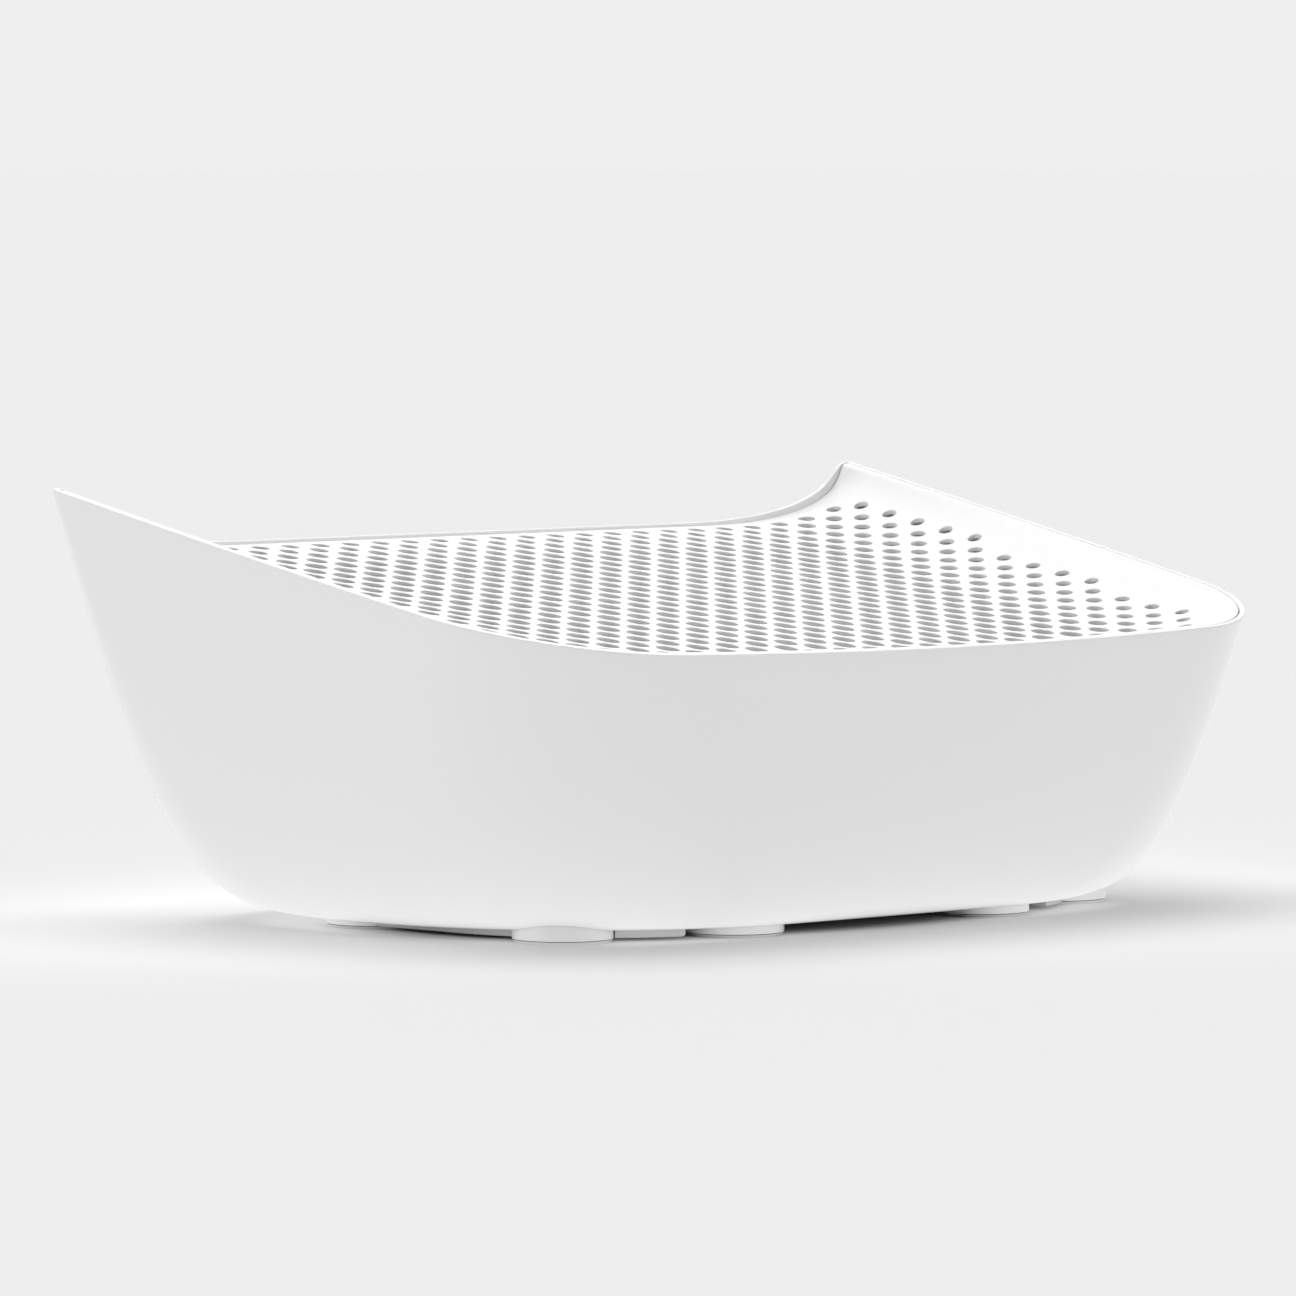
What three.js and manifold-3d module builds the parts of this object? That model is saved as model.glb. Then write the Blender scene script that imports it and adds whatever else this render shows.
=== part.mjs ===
// Litter-catching step tray that stands in front of a cat litter box.
// An open tub with flared walls carries a perforated deck, which lifts out, over a well for the litter.
// The tub stands on round feet, each with a non-slip pad and a screw, and on rubber strips between them.
//
// Millimetres. +Z is up, +X is to the right, and the low front edge faces -Y.
// The origin lies on the ground, under the middle of the tray's width and depth.

import * as THREE from "three";
import { mergeVertices } from "three/addons/utils/BufferGeometryUtils.js";
import Module from "manifold-3d";

const wasm = await Module();
wasm.setup();

// Sizes that the whole tray shares

const seatGap = 0.3; // between two pieces that rest on each other
const overrun = 6; // how far a cutting solid runs past what it cuts

const tray = {
  width: 505,
  depth: 319,
  rearHeight: 192,
  frontHeight: 125,
  wall: 2.5,
  underside: 5.2, // height of the tub's flat underside over the ground
};

// Plan of the rim: sides that draw in towards the front, and a front edge that bows out in the middle
const rim = {
  frontInset: 0,
  rearInset: 0,
  frontRadius: 75,
  rearRadius: 2,
  sideTaper: 13.6,
  frontBow: 21,
};

// Plan of the flat underside, rounder and smaller than the rim
const base = {
  sideInset: 61,
  frontInset: 45.5,
  rearInset: 13,
  frontRadius: 120,
  sideRun: 18.5, // between the end of the front corner and the start of the rear corner
  sideTaper: 4.7,
  frontBow: 5.2,
};

// The wall's section as a curve from the underside's edge to the rim, in shares of its width and height
const wallShares = { toe: 0.43, lean: 0.37, rise: 0.74 };

const deck = {
  thickness: 2.4,
  sideGap: 0.5, // running gap between the deck's border and the tub's wall
  rearDrop: 24, // from the rim's rear corners down to the sloping plane, carried on to the rear
  frontDrop: 19.8, // from the rim's front edge down to the same plane
  marginDrop: 27.5, // from the rim's rear corners down to the level margin at the rear
  sideFillet: 90, // how far in from the border the curve up to it starts
  frontFillet: 43, // the same at the front
  frontRun: 12, // straight part of the curve's start, from the middle to each front corner
  filletHeight: 24,
  borderDrop: 1, // the border's top below the rim
  rearLip: 1.6, // the tub's rear wall above the deck
};

const sieve = {
  pitch: 13, // between neighbouring holes, along the two diagonals of the deck
  diameter: 10.3,
  smallestDiameter: 6.1,
  gradedWidth: 69, // the holes shrink over this width towards the sides
  sideInset: 18.4, // from the rim's widest point to the nearest hole centre
  frontInset: 21.2,
  cornerRadius: 70, // of the outline round the holes, at the front
  sideTaper: 30, // how far that outline draws in towards the front
  rearInset: 21,
  rearGradedDepth: 28,
  rearDiameter: 8.4,
};

const post = {
  radius: 9,
  wall: 2.2,
  footSpacing: 52, // from a side foot inward to a post
  frontInset: 95,
  rearInset: 95,
};

const foot = {
  radius: 22,
  height: 11,
  edge: 1.6, // bevel round the top
  lowerEdge: 2.2, // bevel from the pad's underside up to the foot's side
  sideInset: 34.8, // from the underside's widest point to the centre of a side foot
  endSpacing: 78.6, // from a side foot inward to a front or rear foot
  frontInset: 23.4, // from the underside's front edge to a front foot
  frontSideInset: 49.4, // from the underside's front edge to the side foot nearest to it
  middleInset: 94, // from the underside's rear edge to the side foot behind that
  rearInset: 23.4,
  pocketGap: 0.6,
  padThickness: 1.2,
};

const screw = {
  headRadius: 4.2,
  headHeight: 2.8,
  shankRadius: 1.9,
  length: 15,
  bossWall: 3,
};

// Outline of the strips' outer edge, against the flat underside's
const strip = {
  width: 9,
  height: 3.4,
  sideInset: 19,
  frontInset: 12.4,
  cornerRadius: 85,
  frontFootGap: 14.3, // from a front foot to the strip's free end
};

// Fineness of the round shapes
const columns = { front: 3, frontCorner: 7, side: 3, rearCorner: 5, rear: 2 };
const wallSteps = 9;
const filletSteps = 5;
const footSides = 12;
const screwSides = 8;
const holeSides = 4;
const rowStep = 2; // every second row of holes is cut

// Sizes that follow from those above

const frontY = -tray.depth / 2;
const rearY = tray.depth / 2;
const rimSlope = (tray.rearHeight - tray.frontHeight) / tray.depth;
const deckRearHeight = tray.rearHeight - deck.rearDrop;
const deckFrontHeight = tray.frontHeight - deck.frontDrop;
const deckMarginHeight = tray.rearHeight - deck.marginDrop;
const deckSlope = (deckRearHeight - deckFrontHeight) / tray.depth;
const borderInset = tray.wall + deck.sideGap;
const baseWidth = tray.width - 2 * base.sideInset;
const baseFrontY = frontY + base.frontInset;
const baseRearY = rearY - base.rearInset;
const baseRearRadius = baseRearY - baseFrontY - base.frontRadius - base.sideRun;
const footSideX = baseWidth / 2 - foot.sideInset;
const footEndX = footSideX - foot.endSpacing;
const postX = footSideX - post.footSpacing;

// Height of the rim's plane and of the deck's top plane over a place from front to rear
const rimHeight = (y) => tray.rearHeight - rimSlope * (rearY - y);
const deckHeight = (y) => deckRearHeight - deckSlope * (rearY - y);

const mix = THREE.MathUtils.lerp;

// Solids from geometry, and back

function solidOf(geometry) {
  const bare = geometry.index ? geometry.toNonIndexed() : geometry.clone();
  bare.deleteAttribute("normal");
  bare.deleteAttribute("uv");
  const merged = mergeVertices(bare);
  return new wasm.Manifold(
    new wasm.Mesh({
      numProp: 3,
      vertProperties: merged.attributes.position.array,
      triVerts: new Uint32Array(merged.index.array),
    }),
  );
}

function geometryOf(solid) {
  const mesh = solid.getMesh();
  const geometry = new THREE.BufferGeometry();
  const positions = new THREE.BufferAttribute(mesh.vertProperties, mesh.numProp);
  geometry.setAttribute("position", positions);
  geometry.setIndex(new THREE.BufferAttribute(mesh.triVerts, 1));
  geometry.computeVertexNormals();
  return geometry;
}

const joined = (solids) => solids.reduce((whole, next) => whole.add(next));
const moved = (geometry, x, y, z) => geometry.clone().translate(x, y, z);

// An upright round bar between two heights
function bar(radius, low, high, sides, x, y) {
  const round = new THREE.CylinderGeometry(radius, radius, high - low, sides);
  round.rotateX(Math.PI / 2);
  return solidOf(moved(round, x, y, (low + high) / 2));
}

// A profile of (radius, height) points turned round the Z axis
function turned(profile, sides) {
  const points = profile.map(([radius, height]) => new THREE.Vector2(radius, height));
  return new THREE.LatheGeometry(points, sides).rotateX(Math.PI / 2);
}

// A closed skin through rings that have the same number of points, the first and last ring capped
function skinned(rings) {
  const count = rings[0].length;
  const corners = rings.flat().flat();
  const faces = [];
  for (let level = 0; level < rings.length - 1; level++) {
    for (let i = 0; i < count; i++) {
      const a = level * count + i;
      const b = level * count + ((i + 1) % count);
      faces.push(a, b, b + count, a, b + count, a + count);
    }
  }
  const outline = rings[0].map(([x, y]) => new THREE.Vector2(x, y));
  const top = (rings.length - 1) * count;
  for (const [a, b, c] of THREE.ShapeUtils.triangulateShape(outline, [])) {
    faces.push(a, c, b);
    faces.push(top + a, top + b, top + c);
  }
  const geometry = new THREE.BufferGeometry();
  geometry.setAttribute("position", new THREE.Float32BufferAttribute(corners, 3));
  geometry.setIndex(faces);
  return solidOf(geometry);
}

// Plan outlines

// The points of one half from the middle of the front edge round the right side to the middle of the rear
function halfOutline(plan) {
  const { halfWidth, front, rear, frontRadius, rearRadius } = plan;
  const points = [];
  const straight = (from, to, spans) => {
    for (let i = 0; i < spans; i++) {
      points.push([mix(from[0], to[0], i / spans), mix(from[1], to[1], i / spans)]);
    }
  };
  const corner = (x, y, radius, start, spans) => {
    for (let i = 0; i < spans; i++) {
      const angle = start + (i / spans) * (Math.PI / 2);
      points.push([x + radius * Math.cos(angle), y + radius * Math.sin(angle)]);
    }
  };
  straight([0, front], [halfWidth - frontRadius, front], columns.front);
  corner(halfWidth - frontRadius, front + frontRadius, frontRadius, -Math.PI / 2, columns.frontCorner);
  straight([halfWidth, front + frontRadius], [halfWidth, rear - rearRadius], columns.side);
  corner(halfWidth - rearRadius, rear - rearRadius, rearRadius, 0, columns.rearCorner);
  straight([halfWidth - rearRadius, rear], [0, rear], columns.rear);
  points.push([0, rear]);
  return points;
}

// The closed outline: the sides draw in and the front edge's ends draw back, both as the square of the way
function outline(plan) {
  const { halfWidth, front, rear, sideTaper, frontBow } = plan;
  const right = halfOutline(plan).map(([x, y]) => {
    const forward = (rear - y) / (rear - front);
    const outward = x / halfWidth;
    const inX = sideTaper * forward ** 2 * outward;
    const backY = frontBow * outward ** 2 * forward ** 2;
    return [x - inX, y + backY];
  });
  const left = right.slice(1, -1).reverse();
  return [...right, ...left.map(([x, y]) => [-x, y])];
}

// The plan of the rim or of the underside, moved in all round by an inset
function planOf(shape, width, inset) {
  return {
    ...shape,
    halfWidth: width / 2 - inset,
    front: frontY + shape.frontInset + inset,
    rear: rearY - shape.rearInset - inset,
    frontRadius: shape.frontRadius - inset,
    rearRadius: Math.max(shape.rearRadius - inset, seatGap),
  };
}

const rimPlan = (inset) => planOf(rim, tray.width, inset);
const basePlan = (inset) => planOf({ ...base, rearRadius: baseRearRadius }, baseWidth, inset);

function isInside(points, x, y) {
  let inside = false;
  points.forEach(([ax, ay], i) => {
    const [bx, by] = points[(i + 1) % points.length];
    if (ay > y !== by > y && x < ax + ((y - ay) / (by - ay)) * (bx - ax)) inside = !inside;
  });
  return inside;
}

// The tub's body

const wallCurve = new THREE.CubicBezierCurve(
  new THREE.Vector2(0, 0),
  new THREE.Vector2(wallShares.toe, 0),
  new THREE.Vector2(1 - wallShares.lean, 1 - wallShares.rise),
  new THREE.Vector2(1, 1),
);

// The tub's full shape moved in by an inset, from its underside up to the rim, and past it by a raise
function tubBody(inset, raise) {
  const low = outline(basePlan(inset));
  const high = outline(rimPlan(inset));
  const bottom = tray.underside + inset;
  const rings = wallCurve.getPoints(wallSteps).map(({ x: out, y: up }) =>
    low.map(([x, y], i) => {
      const [rimX, rimY] = high[i];
      return [mix(x, rimX, out), mix(y, rimY, out), mix(bottom, rimHeight(rimY), up)];
    }),
  );
  if (raise > 0) rings.push(high.map(([x, y]) => [x, y, rimHeight(y) + raise]));
  return skinned(rings);
}

// Everything over one of the deck's planes lowered by a depth, with the curve that climbs to the border
function spaceOver(heightAt, depth) {
  const border = rimPlan(borderInset + deck.thickness);
  const startRadius = border.halfWidth - deck.sideFillet - deck.frontRun;
  const rings = [];
  for (let i = 0; i <= filletSteps; i++) {
    const angle = (i / filletSteps) * (Math.PI / 2);
    const inward = 1 - Math.sin(angle);
    const lowered = depth * Math.sin(angle);
    const plan = {
      ...border,
      halfWidth: border.halfWidth - deck.sideFillet * inward + lowered,
      front: border.front + deck.frontFillet * inward - lowered,
      rear: rearY,
      frontRadius: mix(border.frontRadius, startRadius, inward) + lowered,
    };
    const rise = deck.filletHeight * (1 - Math.cos(angle)) - depth * Math.cos(angle);
    rings.push(outline(plan).map(([x, y]) => [x, y, heightAt(y) + rise]));
  }
  const top = rings[filletSteps];
  rings.push(top.map(([x, y]) => [x, y, heightAt(y) + 2 * tray.rearHeight]));
  return skinned(rings);
}

// Everything over the deck's top surface lowered by a depth: it slopes, and runs level along the rear
function spaceOverDeck(depth) {
  return spaceOver(deckHeight, depth).add(spaceOver(() => deckMarginHeight, depth));
}

// Everything over the rim's plane lowered by a drop
function spaceOverRim(drop) {
  const side = new THREE.Shape();
  side.moveTo(frontY - overrun, rimHeight(frontY - overrun) - drop);
  side.lineTo(rearY + overrun, rimHeight(rearY + overrun) - drop);
  side.lineTo(rearY + overrun, 2 * tray.rearHeight);
  side.lineTo(frontY - overrun, 2 * tray.rearHeight);
  const depth = tray.width + 2 * overrun;
  const wedge = new THREE.ExtrudeGeometry(side, { depth, bevelEnabled: false });
  wedge.rotateX(Math.PI / 2).rotateZ(Math.PI / 2);
  return solidOf(wedge.translate(-depth / 2, 0, 0));
}

const tubOutside = tubBody(0, 0);
const tubInside = tubBody(tray.wall, overrun);
const underDeckFace = spaceOverDeck(deck.thickness);

// Feet, and what in the tub holds them

const footSpots = [
  { name: "rear_right", x: footEndX, y: baseRearY - foot.rearInset },
  { name: "middle_right", x: footSideX, y: baseRearY - foot.middleInset },
  { name: "side_right", x: footSideX, y: baseFrontY + foot.frontSideInset },
  { name: "front_right", x: footEndX, y: baseFrontY + foot.frontInset },
  { name: "front_left", x: -footEndX, y: baseFrontY + foot.frontInset },
  { name: "side_left", x: -footSideX, y: baseFrontY + foot.frontSideInset },
  { name: "middle_left", x: -footSideX, y: baseRearY - foot.middleInset },
  { name: "rear_left", x: -footEndX, y: baseRearY - foot.rearInset },
];

const padTop = foot.padThickness;
const footBottom = padTop + seatGap;
const pocketTop = foot.height + seatGap;
const pocketRadius = foot.radius + foot.pocketGap;
const headSeat = footBottom + seatGap + screw.headHeight + seatGap;
const screwBottom = footBottom + seatGap;
const screwTop = screwBottom + screw.length;
const pilotRadius = screw.shankRadius + seatGap;
const bossRadius = pilotRadius + screw.bossWall;

// A turret over each foot's pocket, with a boss for the screw on it
function footTurret({ x, y }) {
  const turret = bar(pocketRadius + tray.wall, tray.underside, pocketTop + tray.wall, footSides, x, y);
  return turret.add(bar(bossRadius, pocketTop, screwTop + tray.wall, screwSides, x, y));
}

function footPocket({ x, y }) {
  const pocket = bar(pocketRadius, -overrun, pocketTop, footSides, x, y);
  return pocket.add(bar(pilotRadius, pocketTop - seatGap, screwTop + seatGap, screwSides, x, y));
}

// A round puck with a hole for the screw and a recess under it for the screw's head
function footGeometry() {
  const bore = screw.shankRadius + seatGap;
  const recess = screw.headRadius + seatGap;
  const profile = [
    [bore, foot.height],
    [bore, headSeat],
    [recess, headSeat],
    [recess, footBottom],
    [foot.radius - foot.lowerEdge + footBottom, footBottom],
    [foot.radius, foot.lowerEdge],
    [foot.radius, foot.height - foot.edge],
    [foot.radius - foot.edge, foot.height],
    [bore, foot.height],
  ];
  return turned(profile, footSides);
}

function padGeometry() {
  const profile = [
    [0, 0],
    [foot.radius - foot.lowerEdge, 0],
    [foot.radius - foot.lowerEdge + padTop, padTop],
    [0, padTop],
  ];
  return turned(profile, footSides);
}

function screwGeometry() {
  const headTop = screwBottom + screw.headHeight;
  const profile = [
    [0, screwBottom],
    [screw.headRadius, screwBottom],
    [screw.headRadius, headTop],
    [screw.shankRadius, headTop],
    [screw.shankRadius, screwTop],
    [0, screwTop],
  ];
  return turned(profile, screwSides);
}

// Posts on the tub's floor, which carry the deck

const postSpots = [-1, 1].flatMap((side) => [
  [side * postX, frontY + post.frontInset],
  [side * postX, rearY - post.rearInset],
]);

function deckPosts() {
  const floor = tray.underside + tray.wall;
  const tubes = postSpots.map(([x, y]) => {
    const outer = bar(post.radius, tray.underside, tray.rearHeight, footSides / 2, x, y);
    const inner = bar(post.radius - post.wall, floor, tray.rearHeight + overrun, footSides / 2, x, y);
    return outer.subtract(inner);
  });
  return joined(tubes);
}

// The notch in the rear wall follows the deck's level margin, a lip's height over it
function rearNotch() {
  const inner = tray.width / 2 - tray.wall;
  const flatEnd = tray.width / 2 - borderInset - deck.thickness - deck.sideFillet;
  const rearTop = deckMarginHeight + deck.rearLip;
  const climb = [];
  const steps = 2 * filletSteps;
  for (let i = 0; i <= steps; i++) {
    const angle = (i / steps) * (Math.PI / 2);
    const x = mix(flatEnd, inner, Math.sin(angle));
    climb.push(new THREE.Vector2(x, rearTop + deck.filletHeight * (1 - Math.cos(angle))));
  }
  climb.push(new THREE.Vector2(inner, tray.rearHeight + overrun));
  const mirrored = climb.map(({ x, y }) => new THREE.Vector2(-x, y)).reverse();
  const shape = new THREE.Shape([...climb, ...mirrored]);
  const depth = 2 * overrun;
  const cut = new THREE.ExtrudeGeometry(shape, { depth, bevelEnabled: false });
  cut.rotateX(Math.PI / 2);
  return solidOf(cut.translate(0, rearY + overrun, 0));
}

function makeTub() {
  const posts = deckPosts().subtract(spaceOverDeck(deck.thickness + seatGap));
  const turrets = joined(footSpots.map(footTurret)).intersect(tubOutside);
  const pockets = joined(footSpots.map(footPocket));
  return tubOutside
    .subtract(tubInside)
    .add(posts)
    .add(turrets)
    .subtract(pockets)
    .subtract(rearNotch());
}

// The deck

// The holes are full size in the middle and shrink towards the sides and over the first rows at the rear
function holeDiameter(x, y) {
  const toSide = tray.width / 2 - sieve.sideInset - Math.abs(x);
  const toRear = rearY - sieve.rearInset - y;
  const sideShare = THREE.MathUtils.clamp(toSide / sieve.gradedWidth, 0, 1);
  const rearShare = THREE.MathUtils.clamp(toRear / sieve.rearGradedDepth, 0, 1);
  const bySide = mix(sieve.smallestDiameter, sieve.diameter, sideShare);
  const byRear = mix(sieve.rearDiameter, sieve.diameter, rearShare);
  return Math.min(bySide, byRear);
}

// Rows half a step apart, every other row shifted by half a column, so that neighbours lie a pitch apart
function holeSpots() {
  const edge = outline({
    ...rimPlan(0),
    halfWidth: tray.width / 2 - sieve.sideInset,
    front: frontY + sieve.frontInset,
    frontRadius: sieve.cornerRadius,
    sideTaper: sieve.sideTaper,
  });
  const column = sieve.pitch * Math.SQRT2;
  const row = column / 2;
  const rows = Math.floor((tray.depth - sieve.rearInset - sieve.frontInset) / row);
  const across = Math.ceil(tray.width / column);
  const spots = [];
  for (let j = 0; j <= rows; j += rowStep) {
    const y = rearY - sieve.rearInset - j * row;
    const shift = (j % 2) / 2;
    for (let i = -across; i <= across; i++) {
      const x = (i + shift) * column;
      if (isInside(edge, x, y)) spots.push([x, y]);
    }
  }
  return spots;
}

function sieveHoles() {
  const low = deckFrontHeight - deck.thickness - overrun;
  const high = tray.rearHeight + overrun;
  const bars = holeSpots().map(([x, y]) => {
    const radius = holeDiameter(x, y) / 2;
    const prism = new THREE.CylinderGeometry(radius, radius, high - low, holeSides);
    prism.rotateX(Math.PI / 2);
    return solidOf(moved(prism, x, y, (low + high) / 2));
  });
  return wasm.Manifold.compose(bars);
}

// The deck has a border at the sides and front only, so what is cut from over it runs out at the rear
function rearGate() {
  const halfWidth = tray.width / 2 - borderInset - deck.thickness;
  const depth = rim.frontRadius;
  const gate = new THREE.BoxGeometry(2 * halfWidth, depth, tray.rearHeight);
  const low = tray.frontHeight;
  return solidOf(moved(gate, 0, rearY - depth / 2 + overrun, low + tray.rearHeight / 2));
}

function makeDeck() {
  const outside = tubBody(borderInset, 0).subtract(spaceOverRim(deck.borderDrop));
  const hollow = tubBody(borderInset + deck.thickness, overrun).add(rearGate());
  const inside = hollow.intersect(spaceOverDeck(0));
  return outside.intersect(underDeckFace).subtract(inside).subtract(sieveHoles());
}

// Non-slip strips under the edge, between neighbouring feet of one side

function stripPlan(inset) {
  return {
    halfWidth: baseWidth / 2 - strip.sideInset - inset,
    front: baseFrontY + strip.frontInset + inset,
    rear: baseRearY - strip.sideInset - inset,
    frontRadius: strip.cornerRadius - inset,
    rearRadius: strip.cornerRadius - inset,
    sideTaper: 0,
    frontBow: 0,
  };
}

function stripBand() {
  const outer = outline(stripPlan(0));
  const inner = outline(stripPlan(strip.width));
  const shape = new THREE.Shape(outer.map(([x, y]) => new THREE.Vector2(x, y)));
  shape.holes.push(new THREE.Path(inner.map(([x, y]) => new THREE.Vector2(x, y))));
  const band = new THREE.ExtrudeGeometry(shape, { depth: strip.height, bevelEnabled: false });
  return solidOf(band.translate(0, 0, tray.underside - seatGap - strip.height));
}

// The stretch of the band on one side of the tray between two places from front to rear
function makeStrip(side, from, to, nearX) {
  const width = baseWidth / 2 - nearX;
  const box = new THREE.BoxGeometry(width, to - from, 2 * tray.underside);
  const window = solidOf(moved(box, side * (nearX + width / 2), (from + to) / 2, 0));
  const feet = footSpots.map(({ x, y }) => bar(pocketRadius, -overrun, pocketTop, footSides, x, y));
  return stripBand().intersect(window).subtract(joined(feet));
}

// Materials

function material(color, roughness, metalness) {
  return new THREE.MeshStandardMaterial({ color, roughness, metalness });
}

const whitePlastic = () => material(0xf4f4f3, 0.38, 0);
const deckPlastic = () => material(0xf8f8f7, 0.42, 0);
const footPlastic = () => material(0xe4e4e3, 0.5, 0);
const paleRubber = () => material(0xcfcfcd, 0.8, 0);
const steel = () => material(0xb4b6b8, 0.35, 1);

// The assembly

const tray3d = new THREE.Group();

function place(name, geometry, look, x = 0, y = 0) {
  const mesh = new THREE.Mesh(geometry, look);
  mesh.name = name;
  mesh.position.set(x, y, 0);
  tray3d.add(mesh);
}

place("outer_tub", geometryOf(makeTub()), whitePlastic());
place("sieve_deck", geometryOf(makeDeck()), deckPlastic());

for (const { name, x, y } of footSpots) {
  place(`foot_${name}`, footGeometry(), footPlastic(), x, y);
  place(`foot_pad_${name}`, padGeometry(), paleRubber(), x, y);
  place(`foot_screw_${name}`, screwGeometry(), steel(), x, y);
}

const cornerFootY = baseFrontY + foot.frontSideInset;
const middleFootY = baseRearY - foot.middleInset;
const stripEndX = footEndX + foot.radius + strip.frontFootGap;
for (const [name, side] of [["right", 1], ["left", -1]]) {
  const long = makeStrip(side, cornerFootY, middleFootY, stripEndX);
  const short = makeStrip(side, frontY, cornerFootY, stripEndX);
  place(`grip_strip_side_${name}`, geometryOf(long), paleRubber());
  place(`grip_strip_corner_${name}`, geometryOf(short), paleRubber());
}

export default tray3d;
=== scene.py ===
import math

import bpy
import numpy as np
from mathutils import Matrix, Vector
from mathutils.geometry import delaunay_2d_cdt


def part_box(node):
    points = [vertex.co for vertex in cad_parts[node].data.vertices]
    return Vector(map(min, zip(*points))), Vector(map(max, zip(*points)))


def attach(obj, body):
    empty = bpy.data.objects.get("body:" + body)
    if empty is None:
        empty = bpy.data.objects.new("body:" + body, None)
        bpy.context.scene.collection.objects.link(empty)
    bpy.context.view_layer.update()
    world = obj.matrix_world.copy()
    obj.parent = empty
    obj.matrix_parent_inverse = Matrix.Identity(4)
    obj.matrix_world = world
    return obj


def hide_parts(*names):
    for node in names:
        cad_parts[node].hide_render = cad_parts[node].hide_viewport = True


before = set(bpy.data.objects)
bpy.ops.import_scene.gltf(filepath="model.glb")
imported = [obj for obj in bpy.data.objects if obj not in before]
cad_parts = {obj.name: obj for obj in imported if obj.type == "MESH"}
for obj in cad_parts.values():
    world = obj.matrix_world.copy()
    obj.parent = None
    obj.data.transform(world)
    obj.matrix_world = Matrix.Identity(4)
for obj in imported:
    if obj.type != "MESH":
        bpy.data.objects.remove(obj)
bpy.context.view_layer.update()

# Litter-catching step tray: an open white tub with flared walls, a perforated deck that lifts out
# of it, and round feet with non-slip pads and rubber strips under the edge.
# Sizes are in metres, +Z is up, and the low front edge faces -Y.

TRAY_LOW, TRAY_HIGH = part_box("outer_tub")
FOOT_LOW, FOOT_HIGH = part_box("foot_side_right")
PAD_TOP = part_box("foot_pad_side_right")[1][2]

FOOT_PLACES = (
    "rear_right", "middle_right", "side_right", "front_right",
    "front_left", "side_left", "middle_left", "rear_left",
)

bl_info = {
    "name": "Litter step tray",
    "version": (1, 0, 0),
    "blender": (4, 5, 0),
    "location": "View3D > Sidebar > Step tray",
    "description": "Builds a litter-catching step tray with a perforated lift-out deck",
    "category": "Object",
}


# Sizes and colours that a user would change

def length(name, description, default):
    """A length in metres, shown in the scene's unit."""
    return bpy.props.FloatProperty(
        name=name, description=description, default=default, min=0.0, precision=5, unit="LENGTH"
    )


def shade(name, description, default):
    """A colour as an sRGB hex value."""
    return bpy.props.StringProperty(name=name, description=description, default=default)


def factor(name, description, default, most=1.0):
    """A plain number from 0 to the most."""
    return bpy.props.FloatProperty(
        name=name, description=description, default=default, min=0.0, max=most, subtype="FACTOR"
    )


class TubSizes(bpy.types.PropertyGroup):
    width: length("Width", "Across the rim at the rear", TRAY_HIGH[0] - TRAY_LOW[0])
    depth: length("Depth", "From the front edge to the rear", TRAY_HIGH[1] - TRAY_LOW[1])
    rear_height: length("Rear height", "Rim at the rear corners over the floor", TRAY_HIGH[2])
    front_height: length("Front height", "Rim at the front over the floor", 0.125)
    wall: length("Wall", "Thickness of the moulded wall", 0.0025)
    underside: length("Underside", "Flat underside over the floor", TRAY_LOW[2])
    lip: length("Lip rounding", "Radius along both edges of the rim", 0.0008)
    rim_corner: length("Rim corner", "Front corner radius of the rim", 0.075)
    rim_taper: length("Rim taper", "How far each side draws in at the front", 0.0136)
    rim_bow: length("Rim bow", "How far the front bows out in the middle", 0.021)
    base_side: length("Base side inset", "From the rim in to the underside at the sides", 0.061)
    base_front: length("Base front inset", "The same at the front", 0.0455)
    base_rear: length("Base rear inset", "The same at the rear", 0.013)
    base_corner: length("Base front corner", "Front corner radius of the underside", 0.120)
    base_rear_corner: length("Base rear corner", "Rear corner radius of the underside", 0.122)
    base_taper: length("Base taper", "How far the underside's sides draw in", 0.0047)
    base_bow: length("Base bow", "How far the underside's front bows out", 0.0052)


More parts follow.
